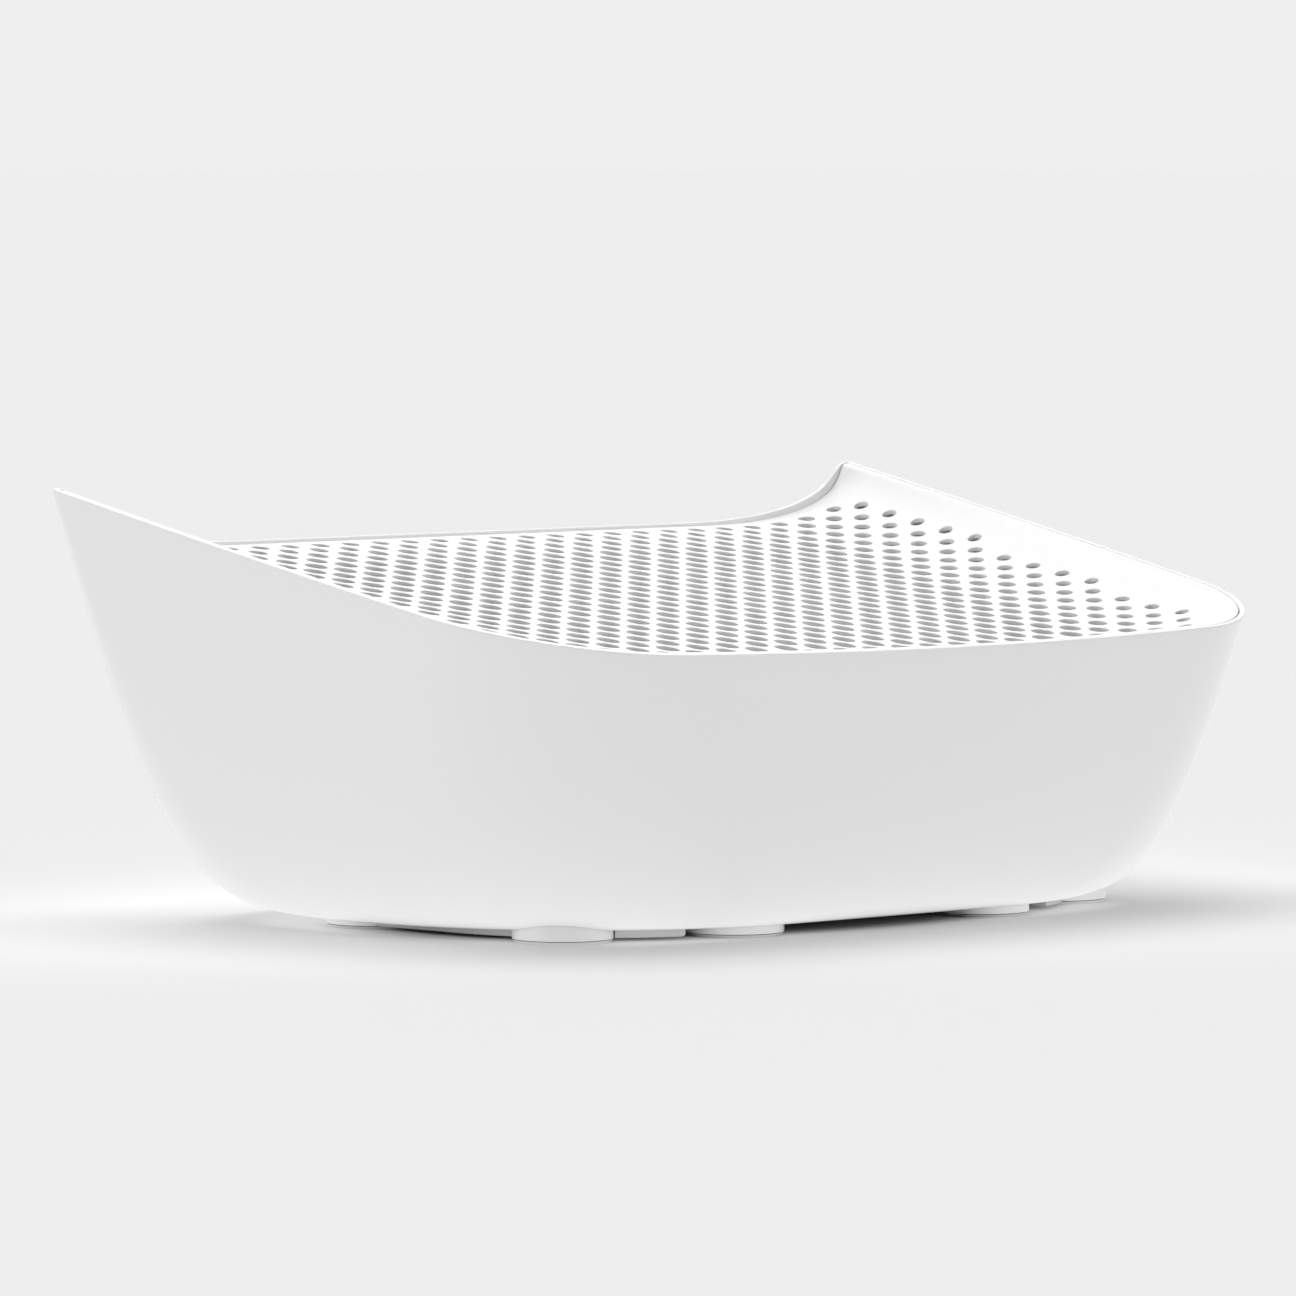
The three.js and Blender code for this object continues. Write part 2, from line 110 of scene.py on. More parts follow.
class DeckSizes(bpy.types.PropertyGroup):
    thickness: length("Thickness", "Thickness of the deck's sheet", 0.0024)
    gap: length("Gap", "Between the border and the tub's wall", 0.0007)
    rear_drop: length("Rear drop", "Rim down to the slope, carried on to the rear", 0.0243)
    front_drop: length("Front drop", "Rim down to the slope at the front", 0.0198)
    margin_drop: length("Margin drop", "Rim down to the level margin at the rear", 0.0279)
    crease: length("Crease", "How softly slope and margin meet", 0.0006)
    face_inset: length("Face inset", "From the rim in to the curve's upright end", 0.0089)
    side_fillet: length("Side fillet", "How far in the curve starts", 0.0953)
    front_fillet: length("Front fillet", "The same at the front", 0.0257)
    start_corner: length("Start corner", "Corner radius of the curve's starting line", 0.0305)
    start_taper: length("Start taper", "How much more than the rim it draws in", 0.085)
    fillet_height: length("Fillet height", "How high the curve would climb", 0.0272)
    fillet_power: factor("Fillet power", "2 for an ellipse, and squarer above", 2.4, most=4.0)
    roll_inset: length("Roll inset", "From the rim in to where the border rolls over", 0.0076)
    roll_drop: length("Roll drop", "How far below the rim it starts to roll over", 0.0019)
    lip_inset: length("Lip inset", "From the rim in to the start of the level lip", 0.005)
    lip_drop: length("Lip drop", "The level lip's top under the rim", 0.0003)
    lip_round: length("Lip rounding", "Rounding of the lip's outer edge", 0.0004)
    rear_lip: length("Rear lip", "The tub's rear wall over the deck", 0.0017)
    pitch: length("Hole pitch", "Between neighbouring holes", 0.013)
    hole: length("Hole", "Diameter of a full-size hole", 0.0103)
    side_hole: length("Side hole", "Diameter of the holes nearest to the sides", 0.0061)
    side_grading: length("Side grading", "Width over which they shrink to the sides", 0.069)
    rear_hole: length("Rear hole", "Diameter of the holes in the first two rows", 0.0084)
    row_step: length("Row step", "Growth from one pair of rear rows to the next", 0.00095)
    hole_side: length("Hole side inset", "From the rim to the nearest hole's centre", 0.01895)
    hole_front: length("Hole front inset", "The same at the front", 0.0212)
    hole_corner: length("Hole corner", "Corner radius of the line round the holes", 0.040)
    hole_taper: length("Hole taper", "How far that line draws in towards the front", 0.025)
    rear_inset: length("Rear inset", "From the rear edge to the first row", 0.021)
    hole_round: length("Hole rounding", "Rounding of each hole's edge", 0.00045)


class FootSizes(bpy.types.PropertyGroup):
    radius: length("Radius", "Radius of a foot", (FOOT_HIGH[0] - FOOT_LOW[0]) / 2)
    height: length("Height", "Top of a foot over the floor", FOOT_HIGH[2])
    bottom: length("Bottom", "Underside of a foot over the floor", FOOT_LOW[2])
    pad: length("Pad", "Thickness of the non-slip pad", PAD_TOP)
    pocket_gap: length("Pocket gap", "Round the foot in its pocket", 0.0006)
    seat_gap: length("Seat gap", "Between pieces that rest on each other", 0.0003)
    rounding: length("Rounding", "Radius of the foot's lower edge with its pad", 0.0022)
    strip_width: length("Strip width", "Width of a rubber strip", 0.009)
    strip_height: length("Strip height", "Height of a rubber strip", 0.0034)
    strip_edge: length("Strip edge", "Bevel along the strip's lower edges", 0.0008)
    strip_side: length("Strip side inset", "From the underside's edge to the strip", 0.019)
    strip_front: length("Strip front inset", "The same at the front", 0.0124)
    strip_corner: length("Strip corner", "Corner radius of the strip's outer edge", 0.085)
    strip_free: length("Strip's free end", "From a front foot to the strip's end", 0.0143)


class TrayFinish(bpy.types.PropertyGroup):
    tub: shade("Tub", "White of the tub", "F1F1F1")
    deck: shade("Deck", "White of the deck", "F6F6F6")
    foot: shade("Feet", "White of the feet", "E6E6E6")
    rubber: shade("Rubber", "Grey of the pads and strips", "C4C4C4")
    steel: shade("Steel", "Zinc-plated steel of the screws", "BCBEC0")
    tub_gloss: factor("Tub roughness", "Of the polished tub", 0.12)
    deck_gloss: factor("Deck roughness", "Of the satin deck", 0.32)


class StageLight(bpy.types.PropertyGroup):
    backdrop: shade("Backdrop", "Backdrop as the camera sees it", "EFEFEF")
    paper: factor("Paper", "Share of the light that the floor gives back", 0.9)
    # The floor's glow is painted light that shines on the tray as a lamp would. The dark ellipse is
    # a painted shadow in it, where the glow is off.
    glow: factor("Glow", "Light from the floor on the tray's walls", 0.93, 2.0)
    painted_shadow_half: length("Dark half width", "Half width of the dark floor under the tray", 0.17)
    painted_shadow_depth: length("Dark half depth", "Half depth of the same", 0.105)
    horizon: factor("Horizon", "Light from the room at the height of the tray", 1.5, 4.0)
    fade: factor("Fade", "Height at which that light is gone, 1 for overhead", 0.3)


GROUPS = {
    "tray_tub": TubSizes,
    "tray_deck": DeckSizes,
    "tray_feet": FootSizes,
    "tray_finish": TrayFinish,
    "tray_stage": StageLight,
}

# The deck's pierced sheet ends on this ring of its border's curve, and the plain border starts
INNER_SINE = 0.93

# Large soft sources: name, direction towards it, strength and how wide it looks, in degrees
SOURCES = (
    ("soft_overhead", (0.0, 0.15, 1.0), 2.4, 65.0),
    ("soft_rear", (0.3, 0.9, 0.35), 0.3, 60.0),
    ("soft_behind", (0.6, 0.6, 0.5), 0.3, 40.0),
    ("soft_left", (-0.9, 0.35, 0.2), 0.55, 40.0),
    ("soft_front", (0.5, -0.85, 0.2), 0.45, 40.0),
)


# Counts of points, and lengths too small for a user to change
ROUND_SIDES = 96
HOLE_SIDES = 16
POST_SIDES = 48
CLIMB_ROWS, ROLL_ROWS = 14, 5
NO_CORNER = 0.0003
HAIR = 2e-5

# The photograph's view: a long lens, low over the floor, from the front left, angles in degrees
CAMERA_PLACE = (-3.03925, -3.01893, 0.34727)
CAMERA_TURN, CAMERA_DOWN = 44.806, 3.060
SENSOR_WIDTH, FOCAL_LENGTH = 36.0, 266.735


def sizes(*names):
    """The scene's property groups of these names, such as tub or deck."""
    return [getattr(bpy.context.scene, "tray_" + name) for name in names]


# Meshes

def linear(code):
    """An sRGB hex value as linear red, green, blue and alpha."""
    parts = np.array([int(code[i:i + 2], 16) for i in (0, 2, 4)]) / 255
    low, high = parts / 12.92, ((parts + 0.055) / 1.055) ** 2.4
    return (*np.where(parts <= 0.04045, low, high).tolist(), 1.0)


def mesh_object(name, points, faces, sharp_angle=35.0):
    """A mesh object at the origin from an array of points and a list of face arrays, each of
    polygons of one size, one to a row."""
    mesh = bpy.data.meshes.new(name)
    counts = np.concatenate([np.full(len(group), group.shape[1]) for group in faces])
    corners = np.concatenate([group.ravel() for group in faces])
    mesh.vertices.add(len(points))
    mesh.vertices.foreach_set("co", np.asarray(points, np.float32).ravel())
    mesh.loops.add(len(corners))
    mesh.loops.foreach_set("vertex_index", corners.astype(np.int32))
    mesh.polygons.add(len(counts))
    mesh.polygons.foreach_set("loop_start", (np.cumsum(counts) - counts).astype(np.int32))
    mesh.update(calc_edges=True)
    mesh.validate()
    smooth(mesh, sharp_angle)
    made = bpy.data.objects.new(name, mesh)
    bpy.context.scene.collection.objects.link(made)
    return made


def smooth(mesh, sharp_angle):
    """Shades a mesh smooth, and keeps its edges above the angle crisp if one is given."""
    mesh.polygons.foreach_set("use_smooth", np.ones(len(mesh.polygons), bool))
    if sharp_angle:
        mesh.set_sharp_from_angle(angle=math.radians(sharp_angle))


def ring_faces(rows, columns):
    """Quads between rings of points that are stored ring by ring."""
    row = np.arange(rows - 1)[:, None] * columns
    around = np.arange(columns)
    a, b = row + around, row + np.roll(around, -1)
    return np.stack([a, b, b + columns, a + columns], -1).reshape(-1, 4)


def lofted(rings):
    """Points and faces of the form through an array of rings, closed at its first and last."""
    rows, columns = rings.shape[:2]
    around = np.arange(columns)[None]
    ends = [around[:, ::-1], (rows - 1) * columns + around]
    return rings.reshape(-1, 3), [ring_faces(rows, columns), *ends]


def turned(profile, x, y):
    """Points and faces of a profile of (radius, height) turned round the vertical line at x, y.

    A point is (x + radius * sin a, y - radius * cos a, height) for the angle a. The profile runs
    from axis to axis, so the form is closed, and each of its ends is one point.
    """
    profile = np.asarray(profile, float)
    body = profile[1:-1]
    angle = np.linspace(0, 2 * math.pi, ROUND_SIDES, endpoint=False)
    rings = body[:, None, :1] * np.stack([np.sin(angle), -np.cos(angle)], -1) + [x, y]
    heights = np.broadcast_to(body[:, None, 1:], (*rings.shape[:2], 1))
    points = np.concatenate([rings, heights], -1).reshape(-1, 3)
    ends = [[x, y, profile[0, 1]], [x, y, profile[-1, 1]]]
    around = np.arange(ROUND_SIDES)
    after = np.roll(around, -1)
    middle = np.full(ROUND_SIDES, len(points))
    last = (len(body) - 1) * ROUND_SIDES
    fans = [
        np.stack([middle, after, around], -1),
        np.stack([middle + 1, last + around, last + after], -1),
    ]
    return np.concatenate([points, ends]), [ring_faces(len(body), ROUND_SIDES), *fans]


def merged(parts):
    """Several (points, faces) pairs as one."""
    starts = np.cumsum([0] + [len(points) for points, _ in parts])
    faces = [group + start for (_, groups), start in zip(parts, starts) for group in groups]
    return np.concatenate([points for points, _ in parts]), faces


def unit(vectors):
    """The same directions with a length of 1."""
    smallest = 1e-12
    return vectors / np.maximum(np.linalg.norm(vectors, axis=-1, keepdims=True), smallest)


def arc(centre, radius, start, end, steps):
    """Points of a circular arc in the plane of radius and height, angles in degrees."""
    angle = np.radians(np.linspace(start, end, steps + 1))
    return np.stack([centre[0] + radius * np.cos(angle), centre[1] + radius * np.sin(angle)], -1)


# The tray's plan and surfaces

class Plan:
    """A rounded rectangle whose sides draw in and whose front edge bows out towards the front.

    With f the share of the way from the rear to the front and u the share of the half width, a
    point moves in by taper * f^2 * u and back by bow * u^2 * f^2.
    """

    def __init__(self, half, front, rear, corner, rear_corner, taper, bow):
        self.half, self.front, self.rear = half, front, rear
        self.corner, self.rear_corner, self.taper, self.bow = corner, rear_corner, taper, bow

    def moved_in(self, inset):
        """The same plan, smaller by an inset all round."""
        rear_corner = self.rear_corner - inset if self.rear_corner > inset else NO_CORNER
        return Plan(
            self.half - inset, self.front + inset, self.rear - inset,
            self.corner - inset, rear_corner, self.taper, self.bow,
        )

    def warp(self, x, y):
        """The place that x, y of the plain rounded rectangle moves to."""
        forward = (self.rear - y) / (self.rear - self.front)
        outward = x / self.half
        return x - self.taper * forward**2 * outward, y + self.bow * outward**2 * forward**2

    def unwarp(self, x, y):
        """The place that warp moves to x, y, found by stepping back eight times."""
        back_x, back_y = x.copy(), y.copy()
        for _ in range(8):
            forward = (self.rear - back_y) / (self.rear - self.front)
            back_x = x / (1 - self.taper * forward**2 / self.half)
            back_y = y - self.bow * (back_x / self.half) ** 2 * forward**2
        return back_x, back_y

    def distance(self, x, y):
        """Distance in from the sides and front, round the front corners, as if it had no rear."""
        flat_x, flat_y = self.unwarp(x, y)
        side = np.abs(flat_x) - (self.half - self.corner)
        ahead = (self.front + self.corner) - flat_y
        outside = np.hypot(np.maximum(side, 0), np.maximum(ahead, 0))
        return self.corner - outside - np.minimum(np.maximum(side, ahead), 0)

    def outline(self):
        """Closed outline of x, y, anticlockwise from the front's middle. Its points lie close
        together at the rear corners, where the tub's rear notch climbs."""
        half, front, rear = self.half, self.front, self.rear
        radius, tight = self.corner, self.rear_corner
        quarter = math.pi / 2
        # The crowded run at the rear is 66 mm wide on a rim with a half width of 252.5 mm
        notch = 0.066 * half / 0.2525

        def line(a, b, shares):
            return np.array(a) + (np.array(b) - np.array(a)) * shares[:, None]

        def bend(x, y, r, start, count):
            angle = start + np.arange(count) / count * quarter
            return np.stack([x + r * np.cos(angle), y + r * np.sin(angle)], -1)

        even = np.linspace(0, 1, 29)[:-1]
        crowded = np.sin(np.linspace(0, quarter, 41)[:-1])[::-1]
        right = np.concatenate([
            line((0, front), (half - radius, front), even),
            bend(half - radius, front + radius, radius, -quarter, 44),
            line((half, front + radius), (half, rear - tight), even),
            bend(half - tight, rear - tight, tight, 0, 16),
            line((half - tight - notch, rear), (half - tight, rear), crowded),
            line((half - tight - notch, rear), (0, rear), np.linspace(0, 1, 31)),
        ])
        x, y = self.warp(right[:, 0], right[:, 1])
        left = slice(-2, 0, -1)
        return np.stack([np.r_[x, -x[left]], np.r_[y, y[left]]], -1)


def plans():
    """The plan of the rim and of the flat underside."""
    tub = bpy.context.scene.tray_tub
    half, front, rear = tub.width / 2, -tub.depth / 2, tub.depth / 2
    rear_corner = 0.002
    rim = Plan(half, front, rear, tub.rim_corner, rear_corner, tub.rim_taper, tub.rim_bow)
    return rim, Plan(
        half - tub.base_side, front + tub.base_front, rear - tub.base_rear,
        tub.base_corner, tub.base_rear_corner, tub.base_taper, tub.base_bow,
    )


def rim_height(y):
    """Height of the rim's sloping plane."""
    tub = bpy.context.scene.tray_tub
    slope = (tub.rear_height - tub.front_height) / tub.depth
    return tub.rear_height - slope * (tub.depth / 2 - y)


def deck_plane(y):
    """Height of the deck's middle: a slope that runs into a level margin at the rear.

    With d the height of the slope over the margin and c the crease, it is the margin's height
    plus (d - sqrt(d^2 + c^2)) / 2, which is the lower of the two, rounded where they meet.
    """
    tub, deck = sizes("tub", "deck")
    low = tub.front_height - deck.front_drop
    high = tub.rear_height - deck.rear_drop
    margin = tub.rear_height - deck.margin_drop
    over = high - (high - low) / tub.depth * (tub.depth / 2 - y) - margin
    return margin + (over - np.sqrt(over**2 + deck.crease**2)) / 2


def wall_curve(t):
    """Shares of the wall's way out and up as a cubic curve from the underside to the rim.

    It leaves the underside level, and comes to the rim from a share back and a share down.
    """
    level, back, down = 0.43, 0.37, 0.74
    out = 3 * (1 - t) ** 2 * t * level + 3 * (1 - t) * t**2 * (1 - back) + t**3
    up = 3 * (1 - t) * t**2 * (1 - down) + t**3
    return out, up


class Skin:
    """The tub's outer skin, or its inner one, which is moved in by an inset.

    A point is the mix of the underside's outline and the rim's by the wall curve's share out, at
    a height that is the mix of the underside's and the rim's by its share up.
    """

    def __init__(self, inset):
        tub, deck = sizes("tub", "deck")
        rim, base = plans()
        self.low, self.high = base.moved_in(inset).outline(), rim.moved_in(inset).outline()
        self.bottom = tub.underside + inset
        self.full = rim_height(self.high[:, 1])
        # The rear edge follows the deck, and stands over it by the rear lip, which runs out to
        # nothing at its ends
        across, height, share = rear_section()
        outer = rim.outline()
        slack, fullness = 1e-6, 0.75
        place, on_rear = np.abs(outer[:, 0]), outer[:, 1] > tub.depth / 2 - slack
        over = deck.rear_lip * (1 - np.interp(place, across, share) ** 2) ** fullness
        self.over = np.where(on_rear, over, 0.0)
        notch = np.minimum(np.interp(place, across, height) + over, self.full)
        self.top = np.where(on_rear & (place < across[-1]), notch, self.full)

    def at(self, t):
        """Points at the curve places t, one row of them or several."""
        out, up = wall_curve(t)
        plan = self.low + (self.high - self.low) * out[..., None]
        height = self.bottom + (self.full - self.bottom) * up
        return np.concatenate([plan, height[..., None]], -1)

    def end(self, drop):
        """Curve places that lie at a drop below the top edge, one for each column."""
        fine_steps = 2001
        t = np.linspace(0, 1, fine_steps)
        wanted = (self.top - drop - self.bottom) / (self.full - self.bottom)
        return np.interp(wanted, wall_curve(t)[1], t)


def tub_shell():
    """Points and faces of the tub's wall: the outer skin, a rounded lip, and the inner skin.

    The lip's outer edge is a quarter round. Its inner edge is one too, and softer over the deck's
    rear edge, where it slopes down to the deck.
    """
    tub = bpy.context.scene.tray_tub
    outer, inner = Skin(0.0), Skin(tub.wall)
    soft = np.maximum(tub.lip, outer.over)
    wall_rows, lip_rows = 57, 6
    shares = np.linspace(0, 1, wall_rows)[:, None]
    up, down = [*outer.at(shares * outer.end(tub.lip))], [*inner.at(shares * inner.end(soft))]
    for turn in np.linspace(0, math.pi / 2, lip_rows)[1:]:
        drop, reach = 1 - math.sin(turn), 1 - math.cos(turn)
        near = outer.at(outer.end(tub.lip * drop))
        across = unit(inner.at(inner.end(tub.lip * drop)) - near)
        up.append(near + across * (tub.lip * reach))
        soft_reach = np.minimum(soft, tub.wall - tub.lip) * reach
        down.append(inner.at(inner.end(soft * drop)) - across * soft_reach[:, None])
    return lofted(np.array([*up, *down[::-1]]))


def full_tub():
    """Points and faces of the space inside the outer skin, closed over just below the rim."""
    outer, below_rim, rows = Skin(0.0), 0.004, 33
    return lofted(outer.at(np.linspace(0, 1, rows)[:, None] * outer.end(below_rim)))


def foot_centres():
    """Place of each foot's middle, from its CAD node."""
    boxes = {place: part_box("foot_" + place) for place in FOOT_PLACES}
    return {p: ((low[0] + high[0]) / 2, (low[1] + high[1]) / 2) for p, (low, high) in boxes.items()}


def combine(target, tool, operation):
    """Applies a boolean with the tool to the target, and removes the tool."""
    cut = target.modifiers.new("Cut", "BOOLEAN")
    cut.operation, cut.solver, cut.object = operation, "MANIFOLD", tool
    graph = bpy.context.evaluated_depsgraph_get()
    result = bpy.data.meshes.new_from_object(target.evaluated_get(graph))
    target.modifiers.clear()
    spare, target.data = target.data, result
    bpy.data.meshes.remove(spare)
    bpy.data.meshes.remove(tool.data)
    fewest = 100
    if len(target.data.polygons) < fewest:
        raise RuntimeError("the boolean on " + target.name + " left too few faces")


def post_parts():
    """Tubes on the tub's floor that carry the deck: four rings each, whose tops follow the deck."""
    tub, deck, feet = sizes("tub", "deck", "feet")
    bore, radius, off_foot, off_edge = 0.0068, 0.009, 0.052, 0.095
    across, along = foot_centres()["side_right"][0] - off_foot, tub.depth / 2 - off_edge
    angle = np.linspace(0, 2 * math.pi, POST_SIDES, endpoint=False)
    bottom = np.full(POST_SIDES, tub.underside + tub.wall / 2)
    parts = []
    for x, y in ((-across, -along), (-across, along), (across, -along), (across, along)):
        rings = []
        for reach, at_top in ((bore, False), (radius, False), (radius, True), (bore, True)):
            px, py = x + reach * np.sin(angle), y - reach * np.cos(angle)
            top = deck_plane(py) - deck.thickness - feet.seat_gap
            rings.append(np.stack([px, py, top if at_top else bottom], -1))
        # The fifth ring is the first one again
        parts.append((np.concatenate(rings), [ring_faces(5, POST_SIDES) % (4 * POST_SIDES)]))
    return parts


# The deck

def deck_rear():
    """The deck's straight rear edge, a gap in front of the tub's rear wall."""
    tub, deck = sizes("tub", "deck")
    return tub.depth / 2 - tub.wall - deck.gap


def deck_ring(sine, below=0.0):
    """Plan of the ring on which the border's curve stands at an angle with this sine.

    The sine is 0 where the curve starts and 1 at the border, and mixes the half width, front
    edge, corner radius and taper. Below is 0 for the sheet's top, and its thickness underneath.
    """
    deck = bpy.context.scene.tray_deck
    rim, _ = plans()
    border = rim.moved_in(deck.face_inset)
    inward = 1 - sine
    return Plan(
        border.half - deck.side_fillet * inward + below * sine,
        border.front + deck.front_fillet * inward - below * sine,
        rim.rear,
        border.corner + (deck.start_corner - border.corner) * inward + below * sine,
        0.0, rim.taper + deck.start_taper * inward, rim.bow,
    )


def deck_sine(x, y, below):
    """The sine of the ring that runs through x, y, found by halving the range 26 times."""
    low, high = np.zeros_like(x), np.ones_like(x)
    for _ in range(26):
        middle = (low + high) / 2
        inside = deck_ring(middle, below).distance(x, y) > 0
        low, high = np.where(inside, low, middle), np.where(inside, middle, high)
    return (low + high) / 2


def deck_surface(x, y, below=0.0):
    """Height of the deck's top, or of its underside where below is the sheet's thickness.

    The deck climbs to its border as a quarter of a superellipse: with s the ring's sine, p the
    power, H the height of the curve and T the thickness below, it is the middle's height plus
    H - (H + T) * (1 - s^p)^(1 / p).
    """
    deck = bpy.context.scene.tray_deck
    power, steepest = deck.fillet_power, 0.9999
    cosine = (1 - np.minimum(deck_sine(x, y, below), steepest) ** power) ** (1 / power)
    return deck_plane(y) + deck.fillet_height - (deck.fillet_height + below) * cosine


def deck_normals(x, y, below=0.0):
    """Unit normals of that surface, from its height a hair's breadth to either side."""
    across = deck_surface(x + HAIR, y, below) - deck_surface(x - HAIR, y, below)
    along = deck_surface(x, y + HAIR, below) - deck_surface(x, y - HAIR, below)
    return unit(np.stack([-across / (2 * HAIR), -along / (2 * HAIR), np.ones_like(x)], -1))


def hole_table():
    """Centres and radii of the holes.

    Rows lie half a column apart, every other one is shifted by half a column, and a hole is kept
    where its centre is inside an outline that draws in faster than the rim. Diameters shrink over
    the grading width to the sides, and by a step for each pair of rows to the rear.
    """
    tub, deck = sizes("tub", "deck")
    half_columns = 16
    column = deck.pitch * math.sqrt(2)
    rows = int((tub.depth - deck.rear_inset - deck.hole_front) / (column / 2)) + 1
    j, i = np.mgrid[0:rows, -half_columns:half_columns + 1]
    x = (i + (j % 2) / 2) * column
    y = tub.depth / 2 - deck.rear_inset - j * column / 2
    edge = Plan(
        tub.width / 2 - deck.hole_side, deck.hole_front - tub.depth / 2, tub.depth / 2,
        deck.hole_corner, NO_CORNER, deck.hole_taper, tub.rim_bow,
    )
    line = edge.outline()
    line = line[:len(line) // 2 + 1]
    reach = np.interp(y, line[:, 1], line[:, 0], left=-1)
    keep = np.abs(x) < reach
    x, y, j, reach = x[keep], y[keep], j[keep], reach[keep]
    share = np.clip((reach - np.abs(x)) / deck.side_grading, 0, 1)
    by_side = deck.side_hole + (deck.hole - deck.side_hole) * share
    by_rear = deck.rear_hole + deck.row_step * (j // 2)
    return x, y, np.minimum(np.minimum(by_side, by_rear), deck.hole) / 2


def spare_points(hole_x, hole_y):
    """Points of the holes' lattice that lie on the plain margin, so that it follows its curve."""
    tub, deck = sizes("tub", "deck")
    off_border, off_rear, off_hole = 0.0045, 0.004, 0.0078
    step = deck.pitch * math.sqrt(2) / 2
    # The lattice reaches past the deck on all sides
    j, i = np.mgrid[-2:36, -30:31]
    x, y = (i * step).ravel(), (tub.depth / 2 - deck.rear_inset - j * step).ravel()
    inside = (deck_ring(INNER_SINE).distance(x, y) > off_border) & (y < deck_rear() - off_rear)
    x, y = x[inside], y[inside]
    free = np.hypot(x[:, None] - hole_x, y[:, None] - hole_y).min(axis=1) > off_hole
    return np.stack([x[free], y[free]], -1)


def columns_on(ring):
    """Places on a ring, one for each column of the border.

    They run from the rear end of the left side round the front to that of the right side, and
    each keeps its share of the side, corner or front.
    """
    side, corner, front = 40, 44, 40
    turn = np.arange(corner) / corner * (math.pi / 2)
    bend = np.concatenate([np.zeros(front), turn, np.full(side + 1, math.pi / 2)])
    across = np.concatenate([np.arange(front) / front, np.ones(corner + side + 1)])
    along = np.concatenate([np.zeros(front + corner), np.arange(side + 1) / side])
    bend, across, along = (np.r_[part[:0:-1], part] for part in (bend, across, along))
    x = (ring.half - ring.corner) * across + ring.corner * np.sin(bend)
    ahead = ring.front + ring.corner
    y = ahead - ring.corner * np.cos(bend) + (deck_rear() - ahead) * along
    x, y = ring.warp(x, y)
    mirror = np.where(np.arange(len(x)) < len(x) // 2, -1.0, 1.0)
    return np.stack([mirror * x, y], -1)


def deck_border():
    """Rings of the deck's border as an array of rows, from the sheet's top round to its underside.

    The top climbs as a parabola to where it rolls over, as a quadratic curve, to a level lip just
    under the rim, which turns down in front of the tub's wall. The underside runs back a
    thickness below. The climb starts as steep as the sheet ends, but no steeper than 1.9 times
    its mean, and the thickness turns square to it over the first 0.3 of the way.
    """
    tub, deck = sizes("tub", "deck")
    rim, _ = plans()
    thick = deck.thickness
    steepest, settled, longest = 1.9, 0.3, 0.8

    def lifted(plan, height):
        return np.concatenate([plan, height[:, None]], -1)

    def under_rim(inset, drop):
        plan = columns_on(rim.moved_in(inset))
        return lifted(plan, rim_height(plan[:, 1]) - drop)

    edge = columns_on(deck_ring(INNER_SINE))
    low = deck_surface(*edge.T)
    brow = under_rim(deck.roll_inset, deck.roll_drop)
    run = brow[:, :2] - edge
    way = np.linalg.norm(run, axis=-1)
    out = run / way[:, None]
    ahead, behind = (deck_surface(*(edge + hair * out).T) for hair in (HAIR, -HAIR))
    climb = brow[:, 2] - low
    slope = np.minimum((ahead - behind) / (2 * HAIR), steepest * climb / way)
    bend = climb - slope * way
    slack = deck_surface(*edge.T, thick) - (low - thick * np.hypot(1, slope))

    over, under = [], []
    for share in np.linspace(0, 1, CLIMB_ROWS):
        plan = edge + run * share
        height = low + slope * way * share + bend * share**2
        tilt = np.arctan(slope + 2 * bend * share / way)
        reach = min(1.0, share / settled) * thick * np.sin(tilt)
        drop = (thick - reach * np.sin(tilt)) / np.cos(tilt)
        over.append(lifted(plan, height))
        under.append(lifted(plan + out * reach[:, None], height - drop + slack * (1 - share)))
    crest = under_rim(deck.lip_inset, deck.lip_drop)
    level = np.linalg.norm(crest[:, :2] - brow[:, :2], axis=-1)
    rise = rim_height(brow[:, 1]) - deck.lip_drop - brow[:, 2]
    ahead = np.minimum(rise / (slope + 2 * bend / way), longest * level)
    plan = brow[:, :2] + out * ahead[:, None]
    turn = lifted(plan, rim_height(plan[:, 1]) - deck.lip_drop)
    for share in np.arange(1, ROLL_ROWS + 1) / ROLL_ROWS:
        over.append((1 - share) ** 2 * brow + 2 * share * (1 - share) * turn + share**2 * crest)
    face = tub.wall + deck.gap
    for angle in np.radians([0, 30, 60, 90]):
        inset = face + deck.lip_round * (1 - math.sin(angle))
        over.append(under_rim(inset, deck.lip_drop + deck.lip_round * (1 - math.cos(angle))))
    over.append(under_rim(face, deck.lip_drop + thick))
    return np.array([*over, *under[::-1]])


def rear_section():
    """The deck's rear edge as half widths and heights, with the share of the way to its end."""
    tub, deck = sizes("tub", "deck")
    border = deck_border()[:CLIMB_ROWS + ROLL_ROWS, -1]
    steps = 80
    inner = np.linspace(0, border[0, 0], steps)[:-1]
    flat = tub.width / 2 - deck.face_inset - deck.side_fillet
    across = np.r_[inner, border[:, 0]]
    height = np.r_[deck_surface(inner, np.full_like(inner, deck_rear())), border[:, 2]]
    return across, height, np.clip((across - flat) / (across[-1] - flat), 0, 1)


def grid_normals(grid):
    """Unit normals of an array of rows of points, from the differences along and across it."""
    return unit(np.cross(np.gradient(grid, axis=0), np.gradient(grid, axis=1)))


